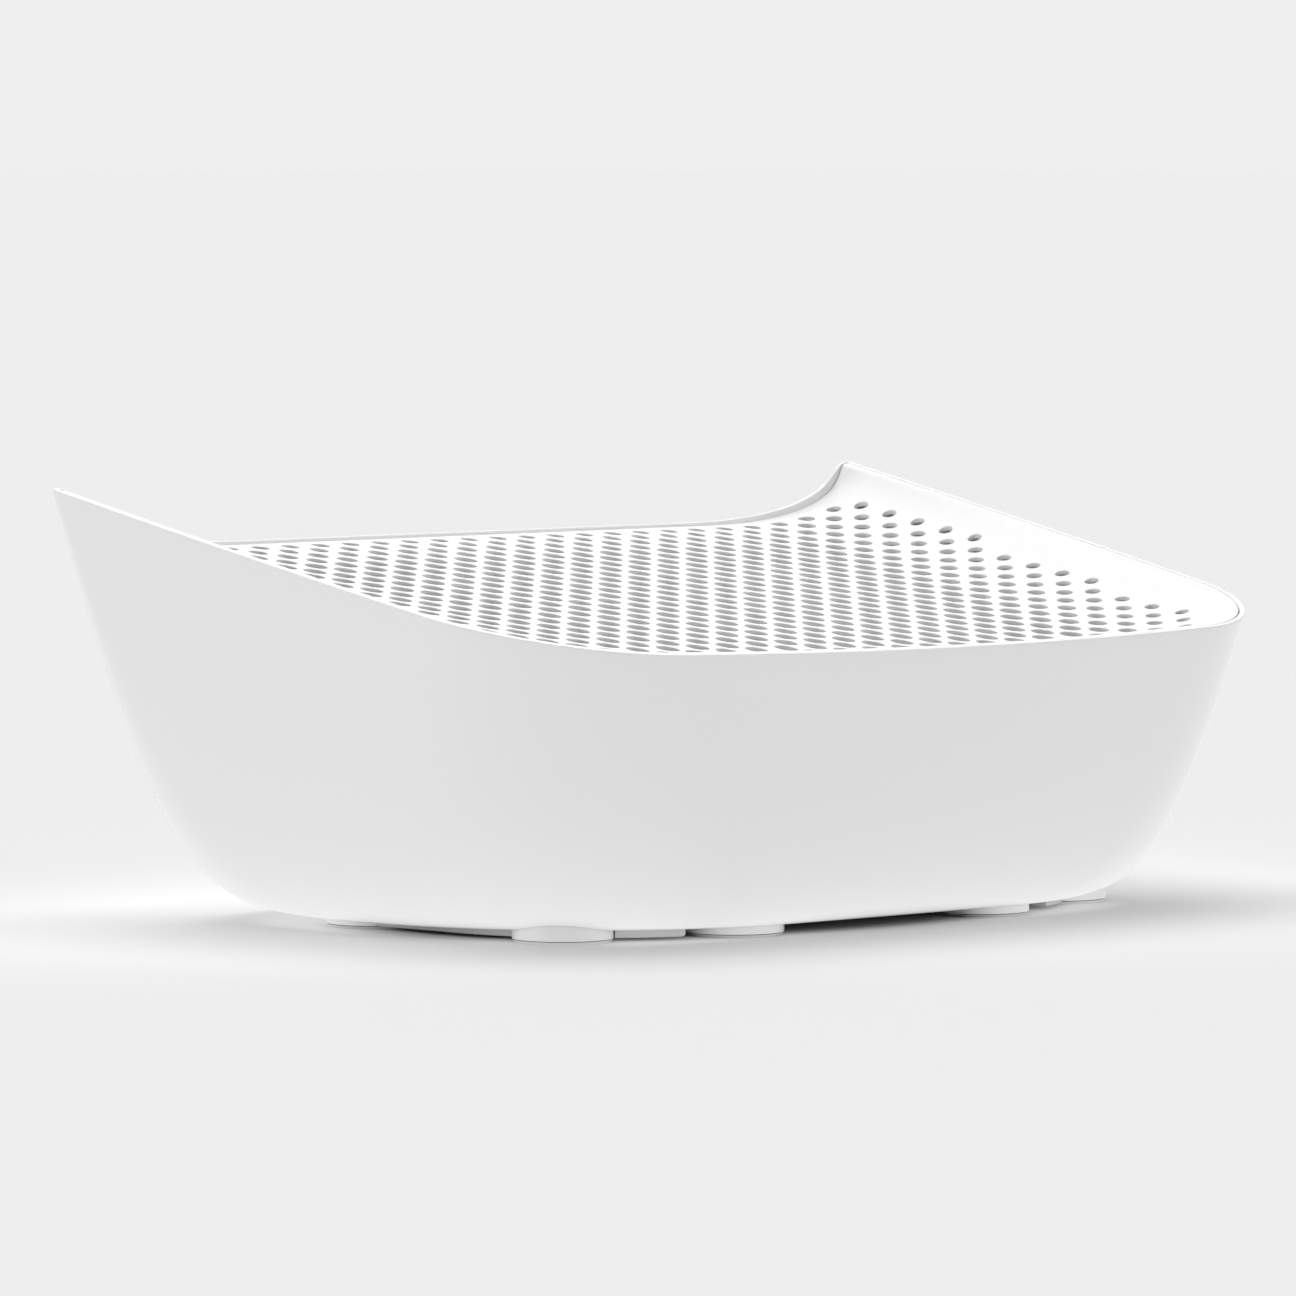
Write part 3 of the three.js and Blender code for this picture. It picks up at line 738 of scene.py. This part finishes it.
def split_plan(outline, rings, spare):
    """Points and triangles of the sheet's plan between its outline and the rings of its holes.

    A triangle lies in a hole where all its corners are on the ring of that same hole.
    """
    points = np.concatenate([outline, rings.reshape(-1, 2), spare])
    around = np.arange(len(outline))
    loops = np.arange(rings[..., 0].size).reshape(-1, HOLE_SIDES) + len(outline)
    edges = np.concatenate([
        np.stack([around, np.roll(around, -1)], -1),
        np.stack([loops, np.roll(loops, -1, axis=1)], -1).reshape(-1, 2),
    ])
    every_triangle, tolerance = 0, 1e-7
    split = delaunay_2d_cdt(
        points.tolist(), edges.tolist(), [], every_triangle, tolerance, True
    )
    if len(split[0]) != len(points):
        raise RuntimeError("the deck's plan split into other points than it was given")
    triangles = np.array(split[2])
    owner = np.full(len(points), -1)
    owner[loops] = np.arange(len(loops))[:, None]
    mine = owner[triangles]
    in_hole = (mine[:, 0] >= 0) & (mine == mine[:, :1]).all(axis=1)
    return points, triangles[~in_hole]


def deck_mesh(name):
    """The perforated deck as one closed mesh with worked-out normals.

    The plan between the hole rings, the border and the rear edge is split into triangles once,
    and lifted to the top and to the underside. Each hole is a tube of four rings: the one in the
    sheet, one a rounding lower and further in, and the same two from below.
    """
    deck = bpy.context.scene.tray_deck
    border = deck_border()
    columns = border.shape[1]
    hole_x, hole_y, radius = hole_table()
    angle = np.linspace(0, 2 * math.pi, HOLE_SIDES, endpoint=False)
    ring = np.stack([np.cos(angle), np.sin(angle)], -1)
    centre = np.stack([hole_x, hole_y], -1)[:, None]
    narrow = centre + radius[:, None, None] * ring
    wide = centre + (radius[:, None, None] + deck.hole_round) * ring
    edge, rear_points = border[0, :, :2], 74
    outline = np.concatenate([edge, np.linspace(edge[-1], edge[0], rear_points)[1:-1]])
    flat, triangles = split_plan(outline, wide, spare_points(hole_x, hole_y))
    count = len(flat)

    def on_sheet(x, y, below, lift=0.0):
        return np.stack([x, y, deck_surface(x, y, below) + lift], -1)

    nx, ny = narrow.reshape(-1, 2).T
    top_normals = deck_normals(*flat.T)
    under_normals = -deck_normals(*flat.T, deck.thickness)
    border_normals = grid_normals(border)[1:-1].reshape(-1, 3)
    inward = -np.tile(np.c_[ring, np.zeros(HOLE_SIDES)], (len(hole_x), 1))
    normals = np.concatenate([top_normals, under_normals, inward, inward, border_normals])
    points = np.concatenate([
        on_sheet(*flat.T, 0.0), on_sheet(*flat.T, deck.thickness),
        on_sheet(nx, ny, 0.0, -deck.hole_round), on_sheet(nx, ny, deck.thickness, deck.hole_round),
        border[1:-1].reshape(-1, 3),
    ])

    tubes = np.arange(len(nx)).reshape(-1, HOLE_SIDES)
    after = np.roll(tubes, -1, axis=1)
    starts = len(outline), 2 * count, 2 * count + len(nx), count + len(outline)
    bands = [
        np.stack([upper + tubes, upper + after, lower + after, lower + tubes], -1).reshape(-1, 4)
        for upper, lower in zip(starts, starts[1:])
    ]
    middle = np.arange(len(border_normals)).reshape(-1, columns) + 2 * (count + len(nx))
    table = np.concatenate([np.arange(columns)[None], middle, count + np.arange(columns)[None]])
    border_faces = np.stack(
        [table[:-1, 1:], table[:-1, :-1], table[1:, :-1], table[1:, 1:]], -1
    ).reshape(-1, 4)
    back = np.r_[np.arange(columns - 1, len(outline)), 0]
    back_faces = np.stack([back[:-1], back[1:], count + back[1:], count + back[:-1]], -1)[:, ::-1]
    rear_faces = [back_faces, table[None, :, -1], table[None, ::-1, 0]]
    faces = [triangles, triangles[:, ::-1] + count, *bands, border_faces, *rear_faces]
    made = mesh_object(name, points, faces, sharp_angle=0)
    corner = np.zeros(len(made.data.loops), np.int32)
    made.data.loops.foreach_get("vertex_index", corner)
    chosen = normals[corner]
    chosen[-sum(group.size for group in rear_faces):] = (0, 1, 0)
    made.data.normals_split_custom_set(chosen.tolist())
    return made


# Feet, pads and strips

def foot_profiles():
    """A foot and its pad as profiles from the middle's underside round the side to the top.

    The foot has a short rounded run above the pad, an upright side and a small rounding at its
    top edge. The pad's lower edge carries the foot's rounding on down to the floor.
    """
    feet = bpy.context.scene.tray_feet
    edge, foot_ledge, pad_ledge = 0.0006, 0.002, 0.001
    toe = (feet.radius - feet.rounding, feet.rounding), feet.rounding

    def angle_at(level):
        """Where the rounding passes a level, in degrees."""
        share = (feet.rounding - level) / feet.rounding
        return -math.degrees(math.asin(min(1.0, share)))

    steps, edge_steps = 6, 4
    lower = arc(*toe, angle_at(feet.bottom), 0, steps)
    side = arc(*toe, -90, angle_at(feet.pad), steps)
    upper = arc((feet.radius - edge, feet.height - edge), edge, 0, 90, edge_steps)
    foot = [(0, feet.bottom), (lower[0][0] - foot_ledge, feet.bottom)]
    pad = [(0, 0), (side[0][0] / 2, 0), *side, (side[-1][0] - pad_ledge, feet.pad)]
    return [*foot, *lower, *upper, (0, feet.height)], [*pad, (0, feet.pad)]


def strip_mesh(name, side, start_foot, end_foot, end_x):
    """A rubber strip: a bevelled bar section carried along a rounded path under the edge.

    Each corner of the section follows its own parallel line from the pocket round the first foot
    to the pocket round the second, or to a plain end at end_x.
    """
    tub, feet = sizes("tub", "feet")
    _, base = plans()
    top = tub.underside - feet.seat_gap
    low, bevel, width = top - feet.strip_height, feet.strip_edge, feet.strip_width
    nick = bevel * 0.3
    section = [
        (0, top), (0, low + bevel), (nick, low + nick), (bevel, low),
        (width - bevel, low), (width - nick, low + nick), (width, low + bevel), (width, top),
    ]
    end_chamfer, steps, fine_steps = 0.0006, 60, 6000
    clear = feet.radius + feet.pocket_gap
    half = base.half - feet.strip_side
    front, rear = base.front + feet.strip_front, base.rear - feet.strip_side
    rows = []
    for inset, height in section:
        corner = feet.strip_corner - inset
        line = Plan(half - inset, front + inset, rear - inset, corner, corner, 0.0, 0.0).outline()
        line = line[:len(line) // 2 + 1]
        way = np.r_[0, np.cumsum(np.hypot(*np.diff(line, axis=0).T))]
        fine = np.linspace(0, way[-1], fine_steps)
        x, y = np.interp(fine, way, line[:, 0]), np.interp(fine, way, line[:, 1])
        free = np.hypot(x - start_foot[0], y - start_foot[1]) > clear
        if end_foot is None:
            stop = end_x + (end_chamfer if height < low + bevel else 0.0)
            free &= (x > stop) & (y < start_foot[1])
        else:
            free &= np.hypot(x - end_foot[0], y - end_foot[1]) > clear
            free &= (y > start_foot[1]) & (y < end_foot[1])
        walk = np.linspace(fine[free][0], fine[free][-1], steps)
        across, along = side * np.interp(walk, fine, x), np.interp(walk, fine, y)
        rows.append(np.stack([across, along, np.full(steps, height)], -1))
    points, faces = lofted(np.array(rows).transpose(1, 0, 2))
    if side > 0:
        faces = [group[:, ::-1] for group in faces]
    return mesh_object(name, points, faces, sharp_angle=30)


# Materials

def add_node(tree, kind, settings=None, links=None):
    """A shader node of a kind with settings of its inputs or properties, and links into it."""
    node = tree.nodes.new("ShaderNode" + kind)
    for key, value in (settings or {}).items():
        if isinstance(key, str) and hasattr(node, key):
            setattr(node, key, value)
        else:
            node.inputs[key].default_value = value
    for key, source in (links or {}).items():
        tree.links.new(source, node.inputs[key])
    return node


def empty_tree(owner):
    """The node tree of a new material or world, with no node in it."""
    owner.use_nodes = True
    owner.node_tree.nodes.clear()
    return owner.node_tree


def surface(name, colour, dark, spots, gloss, span=(0.0, 1.0), grain=None, depth=0.0, **shader):
    """A material that varies with a noise of spots, given as its scale and detail.

    Over the noise its colour goes from the share dark of itself up to itself, and over a span of
    the noise its roughness goes between the values of gloss. The grain, a noise of its own given
    as scale, detail and roughness, makes a bump of a depth in metres.
    """
    made = bpy.data.materials.new(name)
    tree = empty_tree(made)
    place = add_node(tree, "TexCoord").outputs["Object"]

    def noise(scale, detail, roughness=0.5):
        return add_node(tree, "TexNoise", {
            "Scale": scale, "Detail": detail, "Roughness": roughness,
        }, {"Vector": place}).outputs["Fac"]

    spotted = noise(*spots)
    full = linear(colour)
    tint = add_node(tree, "Mix", {
        "data_type": "RGBA", 6: (*[part * dark for part in full[:3]], 1), 7: full,
    }, {0: spotted})
    rough = add_node(tree, "MapRange", {
        "From Min": span[0], "From Max": span[1], "To Min": gloss[0], "To Max": gloss[1],
    }, {"Value": spotted})
    links = {"Base Color": tint.outputs[2], "Roughness": rough.outputs["Result"]}
    if grain:
        links["Normal"] = add_node(tree, "Bump", {"Strength": 1.0, "Distance": depth}, {
            "Height": noise(*grain),
        }).outputs["Normal"]
    shader = add_node(tree, "BsdfPrincipled", shader, links)
    add_node(tree, "OutputMaterial", {}, {"Surface": shader.outputs[0]})
    return made


def moulded_plastic(name, colour, roughness, grain_size, depth):
    """A moulded plastic: a cloud about 90 mm across, as resin flow gives, one percent deep in its
    colour and eight in its roughness, and a spark-eroded grain. The real grain is about a tenth
    of a millimetre, too fine to show, so it is drawn coarser."""
    gloss, grain = (roughness * 0.92, roughness * 1.08), (1.0 / grain_size, 3.0, 0.6)
    return surface(
        name, colour, dark=0.99, spots=(11.0, 2.0), gloss=gloss, span=(0.3, 0.7), grain=grain,
        depth=depth, IOR=1.5,
    )


def moulded_rubber(name, colour):
    """Thermoplastic elastomer: matt, with a dry grain drawn coarser than real, half a millimetre
    wide, so that it shows."""
    grain = (1800.0, 4.0)
    return surface(
        name, colour, dark=0.94, spots=grain, gloss=(0.62, 0.62), grain=grain, depth=4e-5, IOR=1.5
    )


def plated_steel(name, colour):
    """Zinc-plated steel: a pale metal whose plating is slightly uneven, in millimetre spots."""
    return surface(
        name, colour, dark=0.9, spots=(900.0, 3.0), gloss=(0.28, 0.42), Metallic=1.0
    )


def dress(piece, material):
    """Gives an object one material all over."""
    if not piece.data.materials:
        piece.data.materials.append(material)
    for slot in piece.material_slots:
        slot.material = material


# The stage

def paper_floor(stage):
    """Seamless paper: the camera sees it matt, with the tray's shadow on it. To all other rays it
    glows, a painted floor light that lights the tray as a bright sheet would, with a painted shadow
    in it: the glow is off in an ellipse under the tray."""
    made = bpy.data.materials.new("paper_floor_pale")
    tree = empty_tree(made)
    path = add_node(tree, "LightPath")
    paper = add_node(tree, "BsdfDiffuse", {"Color": (*[stage.paper] * 3, 1)})
    place = add_node(tree, "TexCoord").outputs["Object"]
    # The painted shadow: the glow is off inside an ellipse under the tray, and comes up to full
    # over the next fifth of its size
    shares = add_node(tree, "Mapping", {
        "Scale": (1 / stage.painted_shadow_half, 1 / stage.painted_shadow_depth, 0),
    }, {"Vector": place})
    away = add_node(tree, "VectorMath", {"operation": "LENGTH"}, {0: shares.outputs[0]})
    strength = add_node(tree, "MapRange", {
        "From Min": 1.0, "From Max": 1.2, "To Min": 0.0, "To Max": stage.glow,
    }, {"Value": away.outputs["Value"]})
    # The painted floor light, seen by all rays but the camera's
    sheet = add_node(tree, "Emission", {"Color": (1, 1, 1, 1)}, {
        "Strength": strength.outputs["Result"],
    })
    both = add_node(tree, "MixShader", {}, {
        0: path.outputs["Is Camera Ray"], 1: sheet.outputs[0], 2: paper.outputs[0],
    })
    add_node(tree, "OutputMaterial", {}, {"Surface": both.outputs[0]})
    return made


def studio_world(stage):
    """The room. Its light fades from the horizon up, and the camera, mirrors and glass see the
    even backdrop."""
    world = bpy.data.worlds.new("studio_backdrop")
    tree = empty_tree(world)
    path = add_node(tree, "LightPath")
    sight = path.outputs["Is Camera Ray"]
    for ray in ("Is Glossy Ray", "Is Transmission Ray"):
        sight = add_node(tree, "Math", {"operation": "MAXIMUM"}, {
            0: sight, 1: path.outputs[ray],
        }).outputs[0]
    direction = add_node(tree, "TexCoord").outputs["Generated"]
    height = add_node(tree, "SeparateXYZ", {}, {0: direction}).outputs["Z"]
    fade = add_node(tree, "MapRange", {
        "From Min": 0.0, "From Max": stage.fade, "To Min": stage.horizon, "To Max": 0.0,
    }, {"Value": height})
    light = add_node(tree, "Background", {"Color": (1, 1, 1, 1)}, {
        "Strength": fade.outputs["Result"],
    })
    backdrop = add_node(tree, "Background", {"Color": linear(stage.backdrop)})
    both = add_node(tree, "MixShader", {}, {
        0: sight, 1: light.outputs[0], 2: backdrop.outputs[0],
    })
    add_node(tree, "OutputWorld", {}, {"Surface": both.outputs[0]})
    return world


# Operators

class TRAY_OT_tub(bpy.types.Operator):
    """Make the open tub with its lip, foot turrets, pockets and posts"""
    bl_idname = "step_tray.make_tub"
    bl_label = "Make tub"

    def execute(self, context):
        tub, feet, finish = sizes("tub", "feet", "finish")
        centres = foot_centres().values()
        ceiling = feet.height + feet.seat_gap
        pocket = feet.radius + feet.pocket_gap
        boss, boss_end, bore, below = 0.0055, 0.0052, 0.0022, -0.004
        screw_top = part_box("foot_screw_side_right")[1][2]
        bore_top, boss_top = screw_top + feet.seat_gap, screw_top + tub.wall
        low = tub.underside + tub.wall / 2
        turret = [
            (0, low), (pocket + tub.wall, low), (pocket + tub.wall, ceiling + tub.wall),
            (boss, ceiling + tub.wall), (boss_end, boss_top), (0, boss_top),
        ]
        hollow = [
            (0, below), (pocket, below), (pocket, ceiling), (bore, ceiling),
            (bore, bore_top), (0, bore_top),
        ]
        shell = mesh_object("tub_shell", *tub_shell())
        turrets = mesh_object("turrets", *merged([turned(turret, *c) for c in centres]))
        combine(turrets, mesh_object("full_tub", *full_tub()), "INTERSECT")
        combine(shell, turrets, "UNION")
        combine(shell, mesh_object("posts", *merged(post_parts())), "UNION")
        pockets = mesh_object("pockets", *merged([turned(hollow, *c) for c in centres]))
        combine(shell, pockets, "DIFFERENCE")
        smooth(shell.data, sharp_angle=32.0)
        # Polished ABS: a clean glossy white that mirrors the floor softly
        dress(shell, moulded_plastic(
            "abs_polished_white", finish.tub, finish.tub_gloss, grain_size=0.0016, depth=4e-6
        ))
        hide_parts("outer_tub")
        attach(shell, "tub")
        return {"FINISHED"}


class TRAY_OT_deck(bpy.types.Operator):
    """Make the perforated deck with its curved border"""
    bl_idname = "step_tray.make_deck"
    bl_label = "Make deck"

    def execute(self, context):
        finish = context.scene.tray_finish
        sheet = deck_mesh("perforated_deck")
        # Moulded polypropylene: a softer satin white than the tub's
        dress(sheet, moulded_plastic(
            "polypropylene_satin_white", finish.deck, finish.deck_gloss,
            grain_size=0.0012, depth=6e-6,
        ))
        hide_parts("sieve_deck")
        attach(sheet, "deck")
        return {"FINISHED"}


class TRAY_OT_feet(bpy.types.Operator):
    """Make the eight round feet and the non-slip pads under them"""
    bl_idname = "step_tray.make_feet"
    bl_label = "Make feet"

    def execute(self, context):
        finish = context.scene.tray_finish
        # Moulded ABS of the feet, a little greyer and less polished than the tub
        plastic = moulded_plastic(
            "abs_moulded_white", finish.foot, roughness=0.24, grain_size=0.0014, depth=5e-6
        )
        # Injected elastomer of the pads, matt and grippy
        rubber = moulded_rubber("elastomer_pad_grey", finish.rubber)
        foot_profile, pad_profile = foot_profiles()
        edge_angle = 30
        for place, centre in foot_centres().items():
            body = mesh_object("foot_body_" + place, *turned(foot_profile, *centre), edge_angle)
            dress(body, plastic)
            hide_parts("foot_" + place)
            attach(body, "tub")
            pad = mesh_object("pad_disc_" + place, *turned(pad_profile, *centre), edge_angle)
            dress(pad, rubber)
            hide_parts("foot_pad_" + place)
            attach(pad, "tub")
        return {"FINISHED"}


class TRAY_OT_strips(bpy.types.Operator):
    """Make the rubber strips between the feet"""
    bl_idname = "step_tray.make_strips"
    bl_label = "Make strips"

    def execute(self, context):
        feet, finish = sizes("feet", "finish")
        # Extruded elastomer of the strips, matt
        rubber = moulded_rubber("elastomer_strip_grey", finish.rubber)
        centres = foot_centres()
        near, middle, front = (centres[n + "_right"] for n in ("side", "middle", "front"))
        free_end = front[0] + feet.radius + feet.strip_free
        for side, word in ((1, "right"), (-1, "left")):
            for run, second in (("side", middle), ("corner", None)):
                piece = strip_mesh(f"strip_{run}_{word}", side, near, second, free_end)
                dress(piece, rubber)
                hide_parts(f"grip_strip_{run}_{word}")
                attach(piece, "tub")
        return {"FINISHED"}


class TRAY_OT_screws(bpy.types.Operator):
    """Give the screws in the feet their plated finish"""
    bl_idname = "step_tray.dress_screws"
    bl_label = "Dress screws"

    def execute(self, context):
        # Zinc-plated steel screws, pale and slightly uneven
        steel = plated_steel("steel_zinc_plated", context.scene.tray_finish.steel)
        for place in FOOT_PLACES:
            dress(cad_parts["foot_screw_" + place], steel)
        return {"FINISHED"}


class TRAY_OT_stage(bpy.types.Operator):
    """Set up the floor, the soft light and the camera"""
    bl_idname = "step_tray.make_stage"
    bl_label = "Make stage"

    def execute(self, context):
        scene, stage = context.scene, context.scene.tray_stage
        scene.view_settings.view_transform = "Standard"

        reach = 60.0
        square = np.array([(-1, -1, 0), (1, -1, 0), (1, 1, 0), (-1, 1, 0)]) * reach
        floor = mesh_object("paper_floor", square, [np.arange(4)[None]], sharp_angle=0)
        dress(floor, paper_floor(stage))
        scene.world = studio_world(stage)

        for name, towards, strength, spread in SOURCES:
            lamp = bpy.data.lights.new(name, "SUN")
            lamp.energy, lamp.angle = strength, math.radians(spread)
            source = bpy.data.objects.new(name, lamp)
            source.rotation_mode = "QUATERNION"
            source.rotation_quaternion = Vector(towards).to_track_quat("Z", "Y")
            scene.collection.objects.link(source)

        turn, down = math.radians(CAMERA_TURN), math.radians(CAMERA_DOWN)
        level = math.cos(down)
        sight = Vector((math.sin(turn) * level, math.cos(turn) * level, -math.sin(down)))
        lens = bpy.data.cameras.new("product_camera")
        lens.sensor_width, lens.lens, lens.clip_end = SENSOR_WIDTH, FOCAL_LENGTH, 200.0
        camera = bpy.data.objects.new("product_camera", lens)
        aim = sight.to_track_quat("-Z", "Y").to_matrix().to_4x4()
        camera.matrix_world = Matrix.Translation(CAMERA_PLACE) @ aim
        scene.collection.objects.link(camera)
        scene.camera = camera
        return {"FINISHED"}


class TRAY_PT_panel(bpy.types.Panel):
    """Sidebar panel that lists the tray's sizes and its pieces"""
    bl_idname = "TRAY_PT_panel"
    bl_label = "Step tray"
    bl_space_type = "VIEW_3D"
    bl_region_type = "UI"
    bl_category = "Step tray"

    def draw(self, context):
        for name, group in GROUPS.items():
            box = self.layout.box()
            for prop in group.__annotations__:
                box.prop(getattr(context.scene, name), prop)
        for operator in OPERATORS:
            self.layout.operator(operator.bl_idname)


OPERATORS = (
    TRAY_OT_tub, TRAY_OT_deck, TRAY_OT_feet, TRAY_OT_strips, TRAY_OT_screws, TRAY_OT_stage,
)
CLASSES = (*GROUPS.values(), *OPERATORS, TRAY_PT_panel)


def register():
    for made in CLASSES:
        bpy.utils.register_class(made)
    for name, group in GROUPS.items():
        setattr(bpy.types.Scene, name, bpy.props.PointerProperty(type=group))


def unregister():
    for name in GROUPS:
        delattr(bpy.types.Scene, name)
    for made in reversed(CLASSES):
        bpy.utils.unregister_class(made)


def main():
    register()
    bpy.ops.step_tray.make_tub()
    bpy.ops.step_tray.make_deck()
    bpy.ops.step_tray.make_feet()
    bpy.ops.step_tray.make_strips()
    bpy.ops.step_tray.dress_screws()
    bpy.ops.step_tray.make_stage()


if __name__ == "__main__":
    main()
